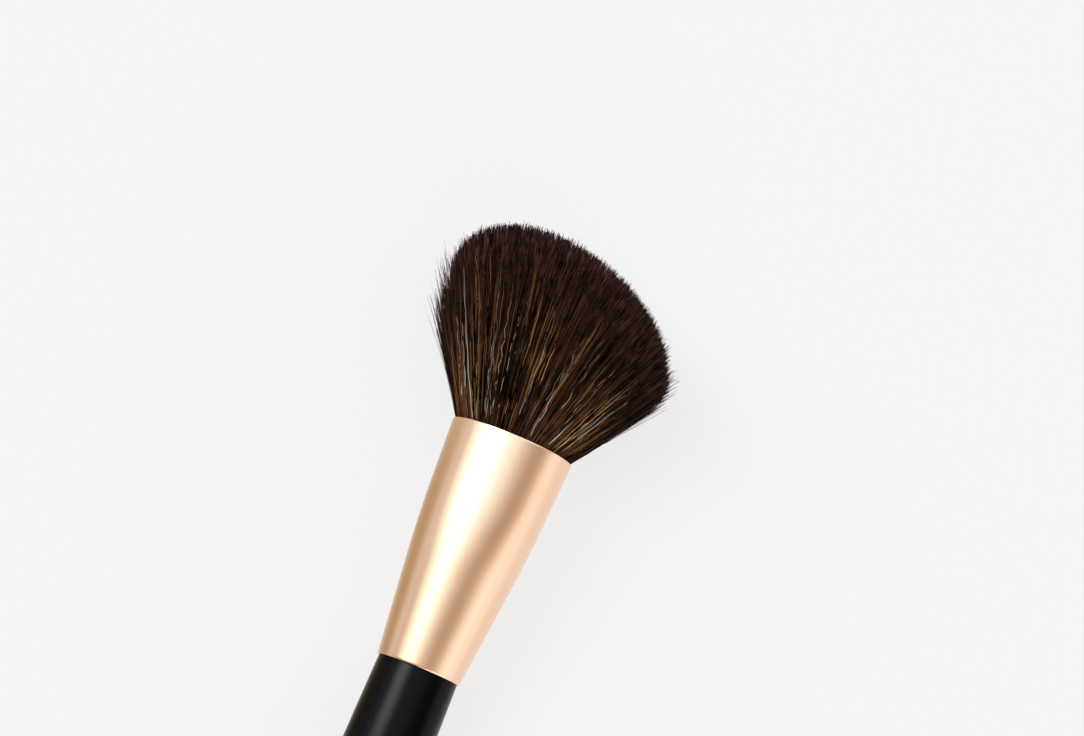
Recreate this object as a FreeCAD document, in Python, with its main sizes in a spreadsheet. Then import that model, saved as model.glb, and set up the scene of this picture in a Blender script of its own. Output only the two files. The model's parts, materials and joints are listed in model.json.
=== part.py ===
import FreeCAD, Part
import math
import os
import random

import Sketcher
from FreeCAD import Placement, Rotation, Vector

# An angled blush brush: a turned and lacquered wooden handle, a thin spun ferrule, and a fan of hair
# whose crown slants. The tied root of the hair is cast into resin inside the ferrule.
# Every piece is drawn along +X from the ferrule's tail, where handle and ferrule meet. The brush is
# then laid on its broad side, as it comes to rest on a table.
SIZES = {
    # Handle
    "handle_length": 111.0,
    "neck_diameter": 12.2,
    "neck_chamfer": 0.1,
    "belly_diameter": 13.0,
    "belly_from_neck": 30.0,
    # 1 curves the belly as far as the tip, and less leaves a straight taper behind it
    "belly_sweep": 0.6,
    "tip_radius": 3.7,
    "tenon_from_root": 6.0,
    "tenon_chamfer": 0.6,
    "tenon_fit": 0.05,
    "shoulder_fit": 0.02,
    # Ferrule
    "ferrule_length": 36.0,
    "tail_diameter": 12.7,
    "mouth_diameter": 18.7,
    # The knee stands out from a straight cone between tail and mouth
    "knee_swell": 0.52,
    "knee_from_mouth": 15.2,
    "knee_blend": 100.0,
    "ferrule_wall": 0.35,
    "lip_chamfer": 0.1,
    # Resin
    "resin_from_tail": 2.5,
    "resin_from_mouth": 9.5,
    "resin_ring": 1.0,
    "resin_fit": 0.03,
    # Binding thread
    "thread_diameter": 0.8,
    "thread_turns": 4,
    "thread_gap": 0.06,
    # Hair root
    "root_depth": 17.0,
    "root_flare": 1.6,
    "neck_in": 1.6,
    "hair_fit": 0.08,
    # Hair fan: how far from the mouth the hair has spread to twice its width and depth
    "fan_reach": 14.0,
    "fan_depth_reach": 33.0,
    "fan_lean": 0.5,
    # Crown: the slanted ellipsoid that the hair tips lie on
    "crown_from_mouth": 18.65,
    "crown_offset": 0.4,
    "crown_half_width": 18.8,
    "crown_half_height": 11.9,
    "crown_half_depth": 13.9,
    "crown_slant": 17.7,
    # Locks of hair
    "lock_rows": 11,
    "lock_tip": 2.4,
    "lock_tip_spread": 0.6,
    "lock_groove": 0.4,
    "lock_wave": 0.12,
    # How far the table presses into the hair where the brush lies on it
    "hair_press": 0.6,
}


def make_sheet(doc):
    """The driving dimensions, one named cell each."""
    sheet = doc.addObject("Spreadsheet::Sheet", "sizes")
    for row, (name, value) in enumerate(SIZES.items(), start=1):
        sheet.set("A%d" % row, name)
        sheet.set("B%d" % row, str(value))
        sheet.setAlias("B%d" % row, name)
    doc.recompute()
    return sheet


def worked_out(item, formula):
    """The value of a formula over the sheet's sizes."""
    return float(item.evalExpression(formula))


class Profile:
    """A half section, drawn on the plane through the brush's axis and turned about it."""

    def __init__(self, doc, name, label):
        self.doc = doc
        self.body = doc.addObject("PartDesign::Body", name)
        self.body.Label = label
        self.sketch = self.body.newObject("Sketcher::SketchObject", name + "_section")
        plane = next(f for f in self.body.Origin.OriginFeatures if f.Role == "XY_Plane")
        self.sketch.AttachmentSupport = [(plane, "")]
        self.sketch.MapMode = "FlatFace"

    def value(self, formula):
        return worked_out(self.sketch, formula)

    def line(self, start, end, construction=False):
        return self.sketch.addGeometry(Part.LineSegment(start, end), construction)

    def arc(self, centre, start, end, construction=False):
        """An arc that runs anticlockwise from start to end."""
        circle = Part.Circle(centre, Vector(0, 0, 1), (start - centre).Length)
        angles = [math.atan2(p.y - centre.y, p.x - centre.x) for p in (start, end)]
        return self.sketch.addGeometry(Part.ArcOfCircle(circle, *angles), construction)

    def rule(self, kind, *places):
        self.sketch.addConstraint(Sketcher.Constraint(kind, *places))

    def size(self, name, kind, places, formula):
        """A dimension of the sketch, bound to the sheet."""
        value = self.value(formula)
        index = self.sketch.addConstraint(Sketcher.Constraint(kind, *places, value))
        self.sketch.renameConstraint(index, name)
        self.sketch.setExpression("Constraints." + name, formula)

    def turn(self):
        """Revolves the section about the brush's axis."""
        self.doc.recompute()
        solid = self.body.newObject("PartDesign::Revolution", self.body.Name + "_turned")
        solid.Profile = self.sketch
        solid.ReferenceAxis = (self.sketch, ["H_Axis"])
        solid.Angle = 360.0
        self.doc.recompute()
        return solid

    def chamfer(self, base, name, formula, rims):
        """Chamfers the circular edges that lie at the given places and radii."""
        edges = []
        for index, edge in enumerate(base.Shape.Edges, start=1):
            if edge.Degenerated or edge.Curve.TypeId != "Part::GeomCircle":
                continue
            found = (edge.Curve.Center.x, edge.Curve.Radius)
            if any(math.dist(found, rim) < 0.01 for rim in rims):
                edges.append("Edge%d" % index)
        feature = self.body.newObject("PartDesign::Chamfer", name)
        feature.Base = (base, edges)
        feature.setExpression("Size", formula)
        self.doc.recompute()


# How a sketch numbers its axes, and the points of a line or an arc.
H_AXIS, V_AXIS = range(-1, -3, -1)
START, END, CENTRE = range(1, 4)
ORIGIN = (H_AXIS, START)

# Sizes that several pieces share, worked out from those in the sheet.
TENON_RADIUS = "(sizes.tail_diameter / 2 - sizes.ferrule_wall - sizes.tenon_fit)"
TENON_LENGTH = "(sizes.ferrule_length - sizes.root_depth - sizes.tenon_from_root)"
CONE_RISE = "(sizes.mouth_diameter - sizes.tail_diameter) / 2 / sizes.ferrule_length"
KNEE_DROP = "(%s * sizes.knee_from_mouth - sizes.knee_swell)" % CONE_RISE
KNEE_RADIUS = "(sizes.mouth_diameter / 2 - %s)" % KNEE_DROP
RESIN_DROP = "%s * sizes.resin_from_mouth / sizes.knee_from_mouth" % KNEE_DROP
RESIN_WALL = "(sizes.ferrule_wall + sizes.resin_ring)"
SOCKET_RADIUS = "(sizes.mouth_diameter / 2 - %s - %s)" % (RESIN_DROP, RESIN_WALL)
WAIST_RADIUS = "(%s - sizes.thread_diameter - 2 * sizes.resin_fit)" % SOCKET_RADIUS


def make_handle(doc):
    """The handle: a rounded tip, a long belly, a shoulder under the ferrule and a tenon inside it."""
    p = Profile(doc, "handle_body", "handle")
    length = p.value("sizes.handle_length")
    tip = p.value("sizes.tip_radius")
    neck = p.value("sizes.neck_diameter / 2")
    crest = Vector(-p.value("sizes.belly_from_neck"), p.value("sizes.belly_diameter / 2"), 0)
    shoulder = -p.value("sizes.shoulder_fit")
    easing = p.value("sizes.neck_chamfer")
    tenon_radius = p.value(TENON_RADIUS)
    tenon_end = p.value(TENON_LENGTH)

    # Two long arcs share their crest at the belly, and a straight taper runs from the rear one to the tip.
    rise = crest.y - neck
    run = shoulder - easing - crest.x
    front_radius = (run**2 + rise**2) / (2 * rise)
    behind = "(sizes.handle_length - sizes.tip_radius - sizes.belly_from_neck)"
    sides = "(%s^2 + (sizes.belly_diameter / 2)^2 - sizes.tip_radius^2)" % behind
    belly_arc = "sizes.belly_sweep * %s / (sizes.belly_diameter - 2 * sizes.tip_radius)" % sides
    rear_radius = p.value(belly_arc)
    rear_centre = Vector(crest.x, crest.y - rear_radius, 0)
    tip_centre = Vector(tip - length, 0, 0)
    apart = rear_centre - tip_centre
    slope = math.atan2(apart.x, -apart.y) - math.acos((rear_radius - tip) / apart.Length)
    outward = Vector(-math.sin(slope), math.cos(slope), 0)
    taper_start = rear_centre + outward * rear_radius
    taper_end = tip_centre + outward * tip

    brow = Vector(shoulder - easing, neck, 0)
    edge = Vector(shoulder, neck - easing, 0)
    chamfer = p.line(edge, brow)
    front = p.arc(Vector(crest.x, crest.y - front_radius, 0), brow, crest)
    rear = p.arc(rear_centre, crest, taper_start)
    taper = p.line(taper_start, taper_end)
    end = p.arc(tip_centre, taper_end, Vector(-length, 0, 0))
    axis = p.line(Vector(-length, 0, 0), Vector(tenon_end, 0, 0))
    cap = p.line(Vector(tenon_end, 0, 0), Vector(tenon_end, tenon_radius, 0))
    tenon = p.line(Vector(tenon_end, tenon_radius, 0), Vector(shoulder, tenon_radius, 0))
    step = p.line(Vector(shoulder, tenon_radius, 0), edge)

    p.rule("Tangent", front, END, rear, START)
    p.rule("Tangent", rear, END, taper, START)
    p.rule("Tangent", taper, END, end, START)
    p.rule("Coincident", end, END, axis, START)
    p.rule("Coincident", axis, END, cap, START)
    p.rule("Coincident", cap, END, tenon, START)
    p.rule("Coincident", tenon, END, step, START)
    p.rule("Coincident", step, END, chamfer, START)
    p.rule("Coincident", chamfer, END, front, START)
    p.rule("PointOnObject", axis, START, H_AXIS)
    p.rule("PointOnObject", axis, END, H_AXIS)
    p.rule("PointOnObject", end, CENTRE, H_AXIS)
    p.rule("Vertical", rear, CENTRE, rear, START)
    p.rule("Vertical", cap)
    p.rule("Horizontal", tenon)
    p.rule("Vertical", step)
    p.size("length", "DistanceX", (axis, START, *ORIGIN), "sizes.handle_length")
    p.size("tip", "Radius", (end,), "sizes.tip_radius")
    p.size("belly", "DistanceY", (*ORIGIN, rear, START), "sizes.belly_diameter / 2")
    p.size("belly_place", "DistanceX", (rear, START, *ORIGIN), "sizes.belly_from_neck")
    p.size("neck", "DistanceY", (*ORIGIN, front, START), "sizes.neck_diameter / 2")
    p.size("chamfer_run", "DistanceX", (chamfer, END, chamfer, START), "sizes.neck_chamfer")
    p.size("chamfer_rise", "DistanceY", (chamfer, START, chamfer, END), "sizes.neck_chamfer")
    p.size("belly_arc", "Radius", (rear,), belly_arc)
    p.size("shoulder", "DistanceX", (step, START, *ORIGIN), "sizes.shoulder_fit")
    p.size("tenon_reach", "DistanceX", (*ORIGIN, axis, END), TENON_LENGTH)
    p.size("tenon_size", "DistanceY", (*ORIGIN, cap, END), TENON_RADIUS)

    solid = p.turn()
    p.chamfer(solid, "tenon_lead", "sizes.tenon_chamfer", [(tenon_end, tenon_radius)])
    return p


class WallGuide:
    """The ferrule's outer line: a lower cone and an upper cone, blended by an arc at the knee."""

    def __init__(self, profile, construction):
        self.p = p = profile
        tail = Vector(0, p.value("sizes.tail_diameter / 2"), 0)
        mouth_x = p.value("sizes.ferrule_length")
        mouth = Vector(mouth_x, p.value("sizes.mouth_diameter / 2"), 0)
        knee_x = mouth_x - p.value("sizes.knee_from_mouth")
        knee = Vector(knee_x, p.value(KNEE_RADIUS), 0)
        self.radius = p.value("sizes.knee_blend")
        self.lower_way = (knee - tail).normalize()
        self.upper_way = (mouth - knee).normalize()
        half_turn = self.lower_way.getAngle(self.upper_way) / 2
        setback = self.radius * math.tan(half_turn)
        self.lower_end = knee - self.lower_way * setback
        self.upper_start = knee + self.upper_way * setback
        self.centre = self.lower_end + self.inward(self.lower_way) * self.radius

        self.lower = p.line(tail, self.lower_end, construction)
        self.blend = p.arc(self.centre, self.upper_start, self.lower_end, construction)
        self.upper = p.line(self.upper_start, mouth, construction)
        corner = p.sketch.addGeometry(Part.Point(knee), True)
        p.rule("Tangent", self.lower, END, self.blend, END)
        p.rule("Tangent", self.blend, START, self.upper, START)
        p.rule("PointOnObject", corner, START, self.lower)
        p.rule("PointOnObject", corner, START, self.upper)
        p.rule("PointOnObject", self.lower, START, V_AXIS)
        p.size("tail", "DistanceY", (*ORIGIN, self.lower, START), "sizes.tail_diameter / 2")
        p.size("mouth", "DistanceY", (*ORIGIN, self.upper, END), "sizes.mouth_diameter / 2")
        p.size("length", "DistanceX", (*ORIGIN, self.upper, END), "sizes.ferrule_length")
        p.size("knee", "DistanceY", (*ORIGIN, corner, START), KNEE_RADIUS)
        p.size("knee_place", "DistanceX", (corner, START, self.upper, END), "sizes.knee_from_mouth")
        p.size("knee_arc", "Radius", (self.blend,), "sizes.knee_blend")

    @staticmethod
    def inward(way):
        return Vector(way.y, -way.x, 0)

    def inset_line(self, name, inset, back_x, front_x):
        """A line inside the wall guide and parallel to it, between two places on the axis."""
        p = self.p
        depth = p.value(inset)
        low_end = self.lower_end + self.inward(self.lower_way) * depth
        high_start = self.upper_start + self.inward(self.upper_way) * depth
        back = low_end + self.lower_way * ((back_x - low_end.x) / self.lower_way.x)
        front = high_start + self.upper_way * ((front_x - high_start.x) / self.upper_way.x)
        lower = p.line(back, low_end)
        blend = p.arc(self.centre, high_start, low_end)
        upper = p.line(high_start, front)
        p.rule("Tangent", lower, END, blend, END)
        p.rule("Tangent", blend, START, upper, START)
        p.rule("Coincident", blend, CENTRE, self.blend, CENTRE)
        p.rule("Parallel", lower, self.lower)
        p.rule("Parallel", upper, self.upper)
        p.size(name, "Radius", (blend,), "sizes.knee_blend - (%s)" % inset)
        return lower, upper, back, front


def make_ferrule(doc):
    """The ferrule: a thin spun tube whose cone eases at the knee, with its lips deburred."""
    p = Profile(doc, "ferrule_body", "ferrule")
    wall = WallGuide(p, construction=False)
    length = p.value("sizes.ferrule_length")
    lower, upper, back, front = wall.inset_line("bore", "sizes.ferrule_wall", 0, length)
    tail_radius = p.value("sizes.tail_diameter / 2")
    mouth_radius = p.value("sizes.mouth_diameter / 2")
    mouth = p.line(Vector(length, mouth_radius, 0), front)
    tail = p.line(back, Vector(0, tail_radius, 0))
    p.rule("Coincident", wall.upper, END, mouth, START)
    p.rule("Coincident", mouth, END, upper, END)
    p.rule("Coincident", lower, START, tail, START)
    p.rule("Coincident", tail, END, wall.lower, START)
    p.rule("Vertical", mouth)
    p.rule("Vertical", tail)
    solid = p.turn()
    rims = [(0, tail_radius), (0, back.y), (length, mouth_radius), (length, front.y)]
    p.chamfer(solid, "lip_deburring", "sizes.lip_chamfer", rims)
    return p


def make_resin(doc):
    """The resin: it fills the ferrule between the hair's tied root and the handle's tenon."""
    p = Profile(doc, "resin_body", "resin_plug")
    wall = WallGuide(p, construction=True)
    back_x = p.value("sizes.resin_from_tail")
    front_x = p.value("sizes.ferrule_length - sizes.resin_from_mouth")
    inset = "sizes.ferrule_wall + sizes.resin_fit"
    lower, upper, back, front = wall.inset_line("skin", inset, back_x, front_x)

    floor = "sizes.ferrule_length - sizes.root_depth - sizes.resin_fit"
    cup = TENON_RADIUS + " + sizes.resin_fit"
    cup_floor = TENON_LENGTH + " + sizes.resin_fit"
    corners = [
        front,
        Vector(front.x, p.value(SOCKET_RADIUS), 0),
        Vector(p.value(floor), p.value(SOCKET_RADIUS), 0),
        Vector(p.value(floor), 0, 0),
        Vector(p.value(cup_floor), 0, 0),
        Vector(p.value(cup_floor), p.value(cup), 0),
        Vector(back.x, p.value(cup), 0),
        back,
    ]
    sides = [p.line(a, b) for a, b in zip(corners, corners[1:])]
    p.rule("Coincident", upper, END, sides[0], START)
    for one, following in zip(sides, sides[1:]):
        p.rule("Coincident", one, END, following, START)
    p.rule("Coincident", sides[-1], END, lower, START)
    for side in (sides[0], sides[2], sides[4], sides[6]):
        p.rule("Vertical", side)
    for side in (sides[1], sides[5]):
        p.rule("Horizontal", side)
    p.rule("PointOnObject", sides[3], START, H_AXIS)
    p.rule("PointOnObject", sides[3], END, H_AXIS)
    p.size("front", "DistanceX", (sides[0], START, wall.upper, END), "sizes.resin_from_mouth")
    p.size("back", "DistanceX", (*ORIGIN, sides[-1], END), "sizes.resin_from_tail")
    p.size("socket", "DistanceY", (*ORIGIN, sides[1], START), SOCKET_RADIUS)
    p.size("socket_floor", "DistanceX", (*ORIGIN, sides[2], START), floor)
    p.size("cup", "DistanceY", (*ORIGIN, sides[5], START), cup)
    p.size("cup_floor", "DistanceX", (*ORIGIN, sides[4], START), cup_floor)
    p.turn()
    return p


def faceted(points, facets):
    """A closed solid of triangles, for a form that no turned or swept section gives."""
    skin = Part.Shape()
    skin.makeShapeFromMesh((points, facets), 0.001)
    return Part.Solid(Part.Shell(skin.Faces))


def piece_of(doc, name, label, shape):
    """A document object that holds a shape made here."""
    piece = doc.addObject("Part::Feature", name)
    piece.Label = label
    piece.Shape = shape
    return piece


def make_thread(doc, sheet):
    """The binding thread: turns wound side by side round the waist of the hair root."""
    steps = 36
    sides = 6
    radius = worked_out(sheet, WAIST_RADIUS) + sheet.resin_fit + sheet.thread_diameter / 2
    pitch = sheet.thread_diameter + sheet.thread_gap
    root_end = sheet.ferrule_length - sheet.root_depth
    first = root_end + sheet.root_flare + sheet.thread_diameter
    rings = int(sheet.thread_turns) * steps + 1
    points = []
    for ring in range(rings):
        angle = 2 * math.pi * ring / steps
        for side in range(sides):
            around = 2 * math.pi * side / sides
            out = radius + sheet.thread_diameter / 2 * math.cos(around)
            along = first + pitch * ring / steps + sheet.thread_diameter / 2 * math.sin(around)
            points.append((along, out * math.cos(angle), out * math.sin(angle)))
    facets = []
    for ring in range(rings - 1):
        for side in range(sides):
            a = ring * sides + side
            b = ring * sides + (side + 1) % sides
            facets += [(a, b, b + sides), (a, b + sides, a + sides)]
    last = (rings - 1) * sides
    for side in range(1, sides - 1):
        facets += [(0, side + 1, side), (last, last + side, last + side + 1)]
    return piece_of(doc, "thread_shape", "binding_thread", faceted(points, facets))


class Hair:
    """The hair's outline: a round tied root, a fan that widens from the mouth, and a slanted crown."""

    def __init__(self, sheet):
        self.sheet = sheet
        slope = worked_out(sheet, KNEE_DROP) / sheet.knee_from_mouth
        self.mouth_radius = sheet.mouth_diameter / 2 - sheet.ferrule_wall - sheet.hair_fit
        full = sheet.resin_from_mouth - sheet.neck_in
        waist = worked_out(sheet, WAIST_RADIUS)
        # Radius of the bundle at each depth below the mouth.
        self.root = [
            (full, self.mouth_radius - slope * full),
            (sheet.resin_from_mouth, waist),
            (sheet.root_depth - sheet.root_flare, waist),
            (sheet.root_depth, waist + sheet.thread_diameter),
        ]

    def strand(self, across, deep, reach):
        """Where a hair is, at a reach beyond the mouth; across and deep place it there."""
        sheet = self.sheet
        y = across * (1 + reach / sheet.fan_reach) - sheet.fan_lean * reach / sheet.fan_reach
        z = deep * (1 + reach / sheet.fan_depth_reach)
        return Vector(sheet.ferrule_length + reach, y, z)

    def crown_reach(self, across, deep):
        """How far beyond the mouth a hair meets the crown, or comes nearest to it."""
        sheet = self.sheet
        lean = math.radians(sheet.crown_slant)
        halves = (sheet.crown_half_width, sheet.crown_half_height, sheet.crown_half_depth)
        start = self.strand(across, deep, 0)
        step = self.strand(across, deep, 1) - start
        start -= Vector(sheet.ferrule_length + sheet.crown_from_mouth, sheet.crown_offset, 0)

        def in_crown(v):
            along = v.y * math.cos(lean) + v.x * math.sin(lean)
            up = v.x * math.cos(lean) - v.y * math.sin(lean)
            return [value / half for value, half in zip((along, up, v.z), halves)]

        a, b = in_crown(start), in_crown(step)
        square = sum(q * q for q in b)
        middle = sum(p * q for p, q in zip(a, b))
        spare = middle**2 - square * (sum(p * p for p in a) - 1)
        return (math.sqrt(max(spare, 0.0)) - middle) / square


def hexagon_rows(rows):
    """Places of the locks: a centre and rings of six, twelve and so on, and the triangles between."""
    first = [0] + [1 + 3 * k * (k - 1) for k in range(1, rows + 1)]
    places = [(0.0, 0.0)]
    for k in range(1, rows + 1):
        places += [(k / (rows + 0.5), 2 * math.pi * m / (6 * k)) for m in range(6 * k)]

    def lock(k, m):
        return first[k] + m % (6 * k) if k else 0

    triangles = []
    for k in range(1, rows + 1):
        for sector in range(6):
            for j in range(k):
                outer = sector * k + j
                inner = sector * (k - 1) + j
                triangles.append((lock(k, outer), lock(k, outer + 1), lock(k - 1, inner)))
                if j < k - 1:
                    triangles.append((lock(k, outer + 1), lock(k - 1, inner + 1), lock(k - 1, inner)))
    return places, triangles, first[rows]


def tuft_form(sheet):
    """The tuft: fluted locks that fan out of the mouth and end in points on the slanted crown."""
    hair = Hair(sheet)
    rows = int(sheet.lock_rows)
    places, triangles, rim_start = hexagon_rows(rows)
    rim = 6 * rows
    chance = random.Random(3)
    points = []
    facets = []

    def add(point):
        points.append((point.x, point.y, point.z))
        return len(points) - 1

    def crown_point(ring, angle, beyond):
        across = hair.mouth_radius * ring * math.cos(angle)
        deep = hair.mouth_radius * ring * math.sin(angle)
        return hair.strand(across, deep, hair.crown_reach(across, deep) + beyond)

    # Crown: each lock ends in a point, and the valleys between locks lie lower.
    spread = sheet.lock_tip_spread
    tips = [add(crown_point(ring, angle, chance.uniform(-spread, spread))) for ring, angle in places]
    valleys = []
    edges = {}
    for number, corners in enumerate(triangles):
        xs = [places[c][0] * math.cos(places[c][1]) for c in corners]
        ys = [places[c][0] * math.sin(places[c][1]) for c in corners]
        middle = (sum(xs) / 3, sum(ys) / 3)
        low = crown_point(math.hypot(*middle), math.atan2(middle[1], middle[0]), -sheet.lock_tip)
        valleys.append(add(low))
        for one, other in zip(corners, corners[1:] + corners[:1]):
            edges[one, other] = number
    for (one, other), number in edges.items():
        if (other, one) in edges:
            facets.append((tips[one], valleys[edges[other, one]], valleys[number]))

    # Sides: a ridge down each outer lock and a groove between each two, from the crown to the root.
    levels = [1.0, 0.82, 0.64, 0.46, 0.28, 0.12, 0.0]
    ridge_spread = 0.02
    ridge_top = sheet.lock_tip / 2
    columns = []
    for number in range(2 * rim):
        angle = math.pi * number / rim
        groove = number % 2
        ring = 1.0 - groove * sheet.lock_groove / hair.mouth_radius
        ring -= 0.0 if groove else ridge_spread * chance.random()
        across, deep = math.cos(angle) * ring * hair.mouth_radius, math.sin(angle) * ring * hair.mouth_radius
        top = hair.crown_reach(across, deep) - (sheet.lock_tip if groove else ridge_top)
        column = []
        for level in levels:
            wave = sheet.lock_wave * math.sin(2 * math.pi * level + 5 * angle) * level * 2 * math.pi / rim
            turned = Rotation(Vector(1, 0, 0), math.degrees(wave)).multVec(Vector(0, across, deep))
            column.append(add(hair.strand(turned.y, turned.z, top * level)))
        for depth, radius in hair.root:
            share = ring * radius
            point = Vector(sheet.ferrule_length - depth, share * math.cos(angle), share * math.sin(angle))
            column.append(add(point))
        columns.append(column)
    for one, other in zip(columns, columns[1:] + columns[:1]):
        for j in range(len(one) - 1):
            facets.append((one[j], one[j + 1], other[j + 1]))
            facets.append((one[j], other[j + 1], other[j]))

    # Rim: the outer locks' points join the crown to the ridges and grooves below them.
    for m in range(rim):
        lock = tips[rim_start + m]
        following = tips[rim_start + (m + 1) % rim]
        ridge = columns[2 * m][0]
        after = columns[2 * m + 1][0]
        before = columns[2 * m - 1][0]
        inner = valleys[edges[rim_start + m, rim_start + (m + 1) % rim]]
        facets += [(lock, after, inner), (following, inner, after)]
        facets += [(lock, ridge, after), (lock, before, ridge)]

    # Root end: a flat face at the bottom of the bundle.
    middle = add(Vector(sheet.ferrule_length - sheet.root_depth, 0, 0))
    for one, other in zip(columns, columns[1:] + columns[:1]):
        facets.append((middle, other[-1], one[-1]))

    return points, facets


def lay_down(sheet, handle, hair_points):
    """The placement that lays the brush on its broad side, handle and hair both on the table."""
    hair = [Vector(*point) for point in hair_points]

    def turned(angle):
        return Placement(Vector(), Rotation(Vector(0, 1, 0), -angle))

    def handle_box(angle):
        shape = handle.Shape.copy()
        shape.Placement = turned(angle)
        return shape.optimalBoundingBox(False, False)

    # The steeper it lies, the higher the hair is above the handle: the angle where both touch is
    # closed in on from both sides.
    low, high = 0.0, 12.0
    for _ in range(30):
        angle = (low + high) / 2
        table = min(turned(angle).multVec(point).z for point in hair) + sheet.hair_press
        if table < handle_box(angle).ZMin:
            low = angle
        else:
            high = angle
    laid = turned(angle)
    placed = [laid.multVec(point) for point in hair]
    middle_x = (handle_box(angle).XMin + max(point.x for point in placed)) / 2
    middle_y = (min(point.y for point in placed) + max(point.y for point in placed)) / 2
    laid.Base = Vector(-middle_x, -middle_y, -table)
    return laid, angle


def make_tuft(doc, sheet, form, laid):
    """The tuft, pressed flat where it lies on the table."""
    size = sheet.handle_length
    table = Part.makeBox(2 * size, 2 * size, size)
    table.Placement = laid.inverse() * Placement(Vector(0, -size, -size), Rotation())
    pressed = faceted(*form).cut(table)
    return piece_of(doc, "tuft_shape", "hair_tuft", pressed.Solids[0])


def main():
    doc = FreeCAD.newDocument("blush_brush")
    sheet = make_sheet(doc)
    handle = make_handle(doc)
    ferrule = make_ferrule(doc)
    resin = make_resin(doc)
    thread = make_thread(doc, sheet)
    form = tuft_form(sheet)
    laid, angle = lay_down(sheet, handle.body, form[0])
    tuft = make_tuft(doc, sheet, form, laid)
    objects = [handle.body, ferrule.body, resin.body, thread, tuft]
    pieces = {piece.Label: piece for piece in objects}
    for piece in objects:
        piece.Placement = laid
    doc.recompute()

    for item in doc.Objects:
        if "Invalid" in item.State or "Error" in item.State:
            raise RuntimeError("%s did not build" % item.Name)
    for name, piece in pieces.items():
        if piece.Shape.isNull() or not piece.Shape.isValid() or piece.Shape.Volume <= 0:
            raise RuntimeError("%s has no valid shape" % name)

    os.makedirs("parts", exist_ok=True)
    for name, piece in pieces.items():
        piece.Shape.exportStep("parts/%s.step" % name)
        box = piece.Shape.optimalBoundingBox(False, False)
        print(
            "%-15s %8.1f mm3, x %7.2f to %7.2f, y %6.2f to %6.2f, z %6.2f to %6.2f"
            % (name, piece.Shape.Volume, box.XMin, box.XMax, box.YMin, box.YMax, box.ZMin, box.ZMax)
        )
    print("The axis rises %.3f degrees towards the hair" % angle)
    return doc, pieces


main()
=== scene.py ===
# %% [markdown]
# # An angled blush brush
# This lesson dresses the plain model of a makeup brush: a black lacquered handle, a champagne coloured
# metal ferrule and a wide fan of soft hair whose end falls to one side. The model from the workshop
# comes in first, as a fixed frame. It says where every piece is, and nothing here moves it.

import json
import math

import bmesh
import bpy
import numpy as np
from mathutils import Matrix, Vector


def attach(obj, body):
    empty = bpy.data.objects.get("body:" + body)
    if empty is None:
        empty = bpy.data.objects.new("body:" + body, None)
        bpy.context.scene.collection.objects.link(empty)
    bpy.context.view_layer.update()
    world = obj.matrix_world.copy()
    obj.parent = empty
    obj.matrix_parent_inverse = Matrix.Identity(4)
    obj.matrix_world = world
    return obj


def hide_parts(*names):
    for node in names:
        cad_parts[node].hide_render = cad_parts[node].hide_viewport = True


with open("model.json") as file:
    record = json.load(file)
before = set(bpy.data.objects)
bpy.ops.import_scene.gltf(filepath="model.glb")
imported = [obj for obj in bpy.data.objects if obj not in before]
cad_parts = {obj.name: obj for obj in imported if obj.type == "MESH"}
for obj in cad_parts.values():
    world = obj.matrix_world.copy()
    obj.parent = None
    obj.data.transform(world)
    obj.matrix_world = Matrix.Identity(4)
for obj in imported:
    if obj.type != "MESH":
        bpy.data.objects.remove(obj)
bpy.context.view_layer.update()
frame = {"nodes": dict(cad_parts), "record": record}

# %% [markdown]
# ## Where the brush lies
# The brush lies on its broad side, with the handle's belly and the hair both on the table, so its axis
# climbs a little towards the hair. The frame's grip mount is a point on that axis with the axis's
# direction, so the whole brush can be drawn along a straight line first, in millimetres, and then laid
# down by one matrix. In the drawing X runs along the brush from the joint of handle and ferrule to the
# hair, Y runs across its broad side, and Z is its depth.

# %% The drawing's own axes
MM = 0.001
BELLY_FROM_NECK = 30.0

grip = frame["record"]["mounts"][0]
along_axis = Vector(grip["axis"]).normalized()
joint_place = Vector(grip["pos_m"]) + along_axis * BELLY_FROM_NECK * MM
broad_axis = Vector((0, 1, 0))
depth_axis = along_axis.cross(broad_axis)
turned = Matrix((along_axis, broad_axis, depth_axis)).transposed().to_4x4()
LAID = Matrix.Translation(joint_place) @ turned @ Matrix.Scale(MM, 4)
print("The axis climbs", round(math.degrees(math.asin(along_axis.z)), 2), "degrees")

# %% [markdown]
# ## A short way to write materials
# A material is a graph of nodes. Built call by call it is hard to read, so two small helpers are made
# first. A Wire stands for one output of a node, and plain Python sums on it add Math nodes. A Finish
# holds the graph and adds every other kind of node.

# %% Sums that become Math nodes
class Wire:
    """One output of a node: + - and * on it add Math nodes."""

    def __init__(self, finish, socket):
        self.finish = finish
        self.socket = socket

    def _math(self, operation, *values):
        """A Math node, which is what every sum becomes."""
        return self.finish.node("Math", {"operation": operation}, dict(enumerate(values)))

    def __add__(self, other):
        return self._math("ADD", self, other)

    def __sub__(self, other):
        return self._math("SUBTRACT", self, other)

    def __rsub__(self, other):
        return self._math("SUBTRACT", other, self)

    def __mul__(self, other):
        return self._math("MULTIPLY", self, other)

    __radd__ = __add__
    __rmul__ = __mul__

    def turn(self, operation, *others):
        """An angle in degrees from an arc function."""
        return self._math(operation, self, *others) * math.degrees(1)

    def rise(self, low, high):
        """0 before low, 1 past high, and a soft step in between. With low above high it falls."""
        if low > high:
            return 1 - self.rise(high, low)
        return self.finish.node("MapRange", {"interpolation_type": "SMOOTHSTEP"},
                                {"Value": self, "From Min": low, "From Max": high})


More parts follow.
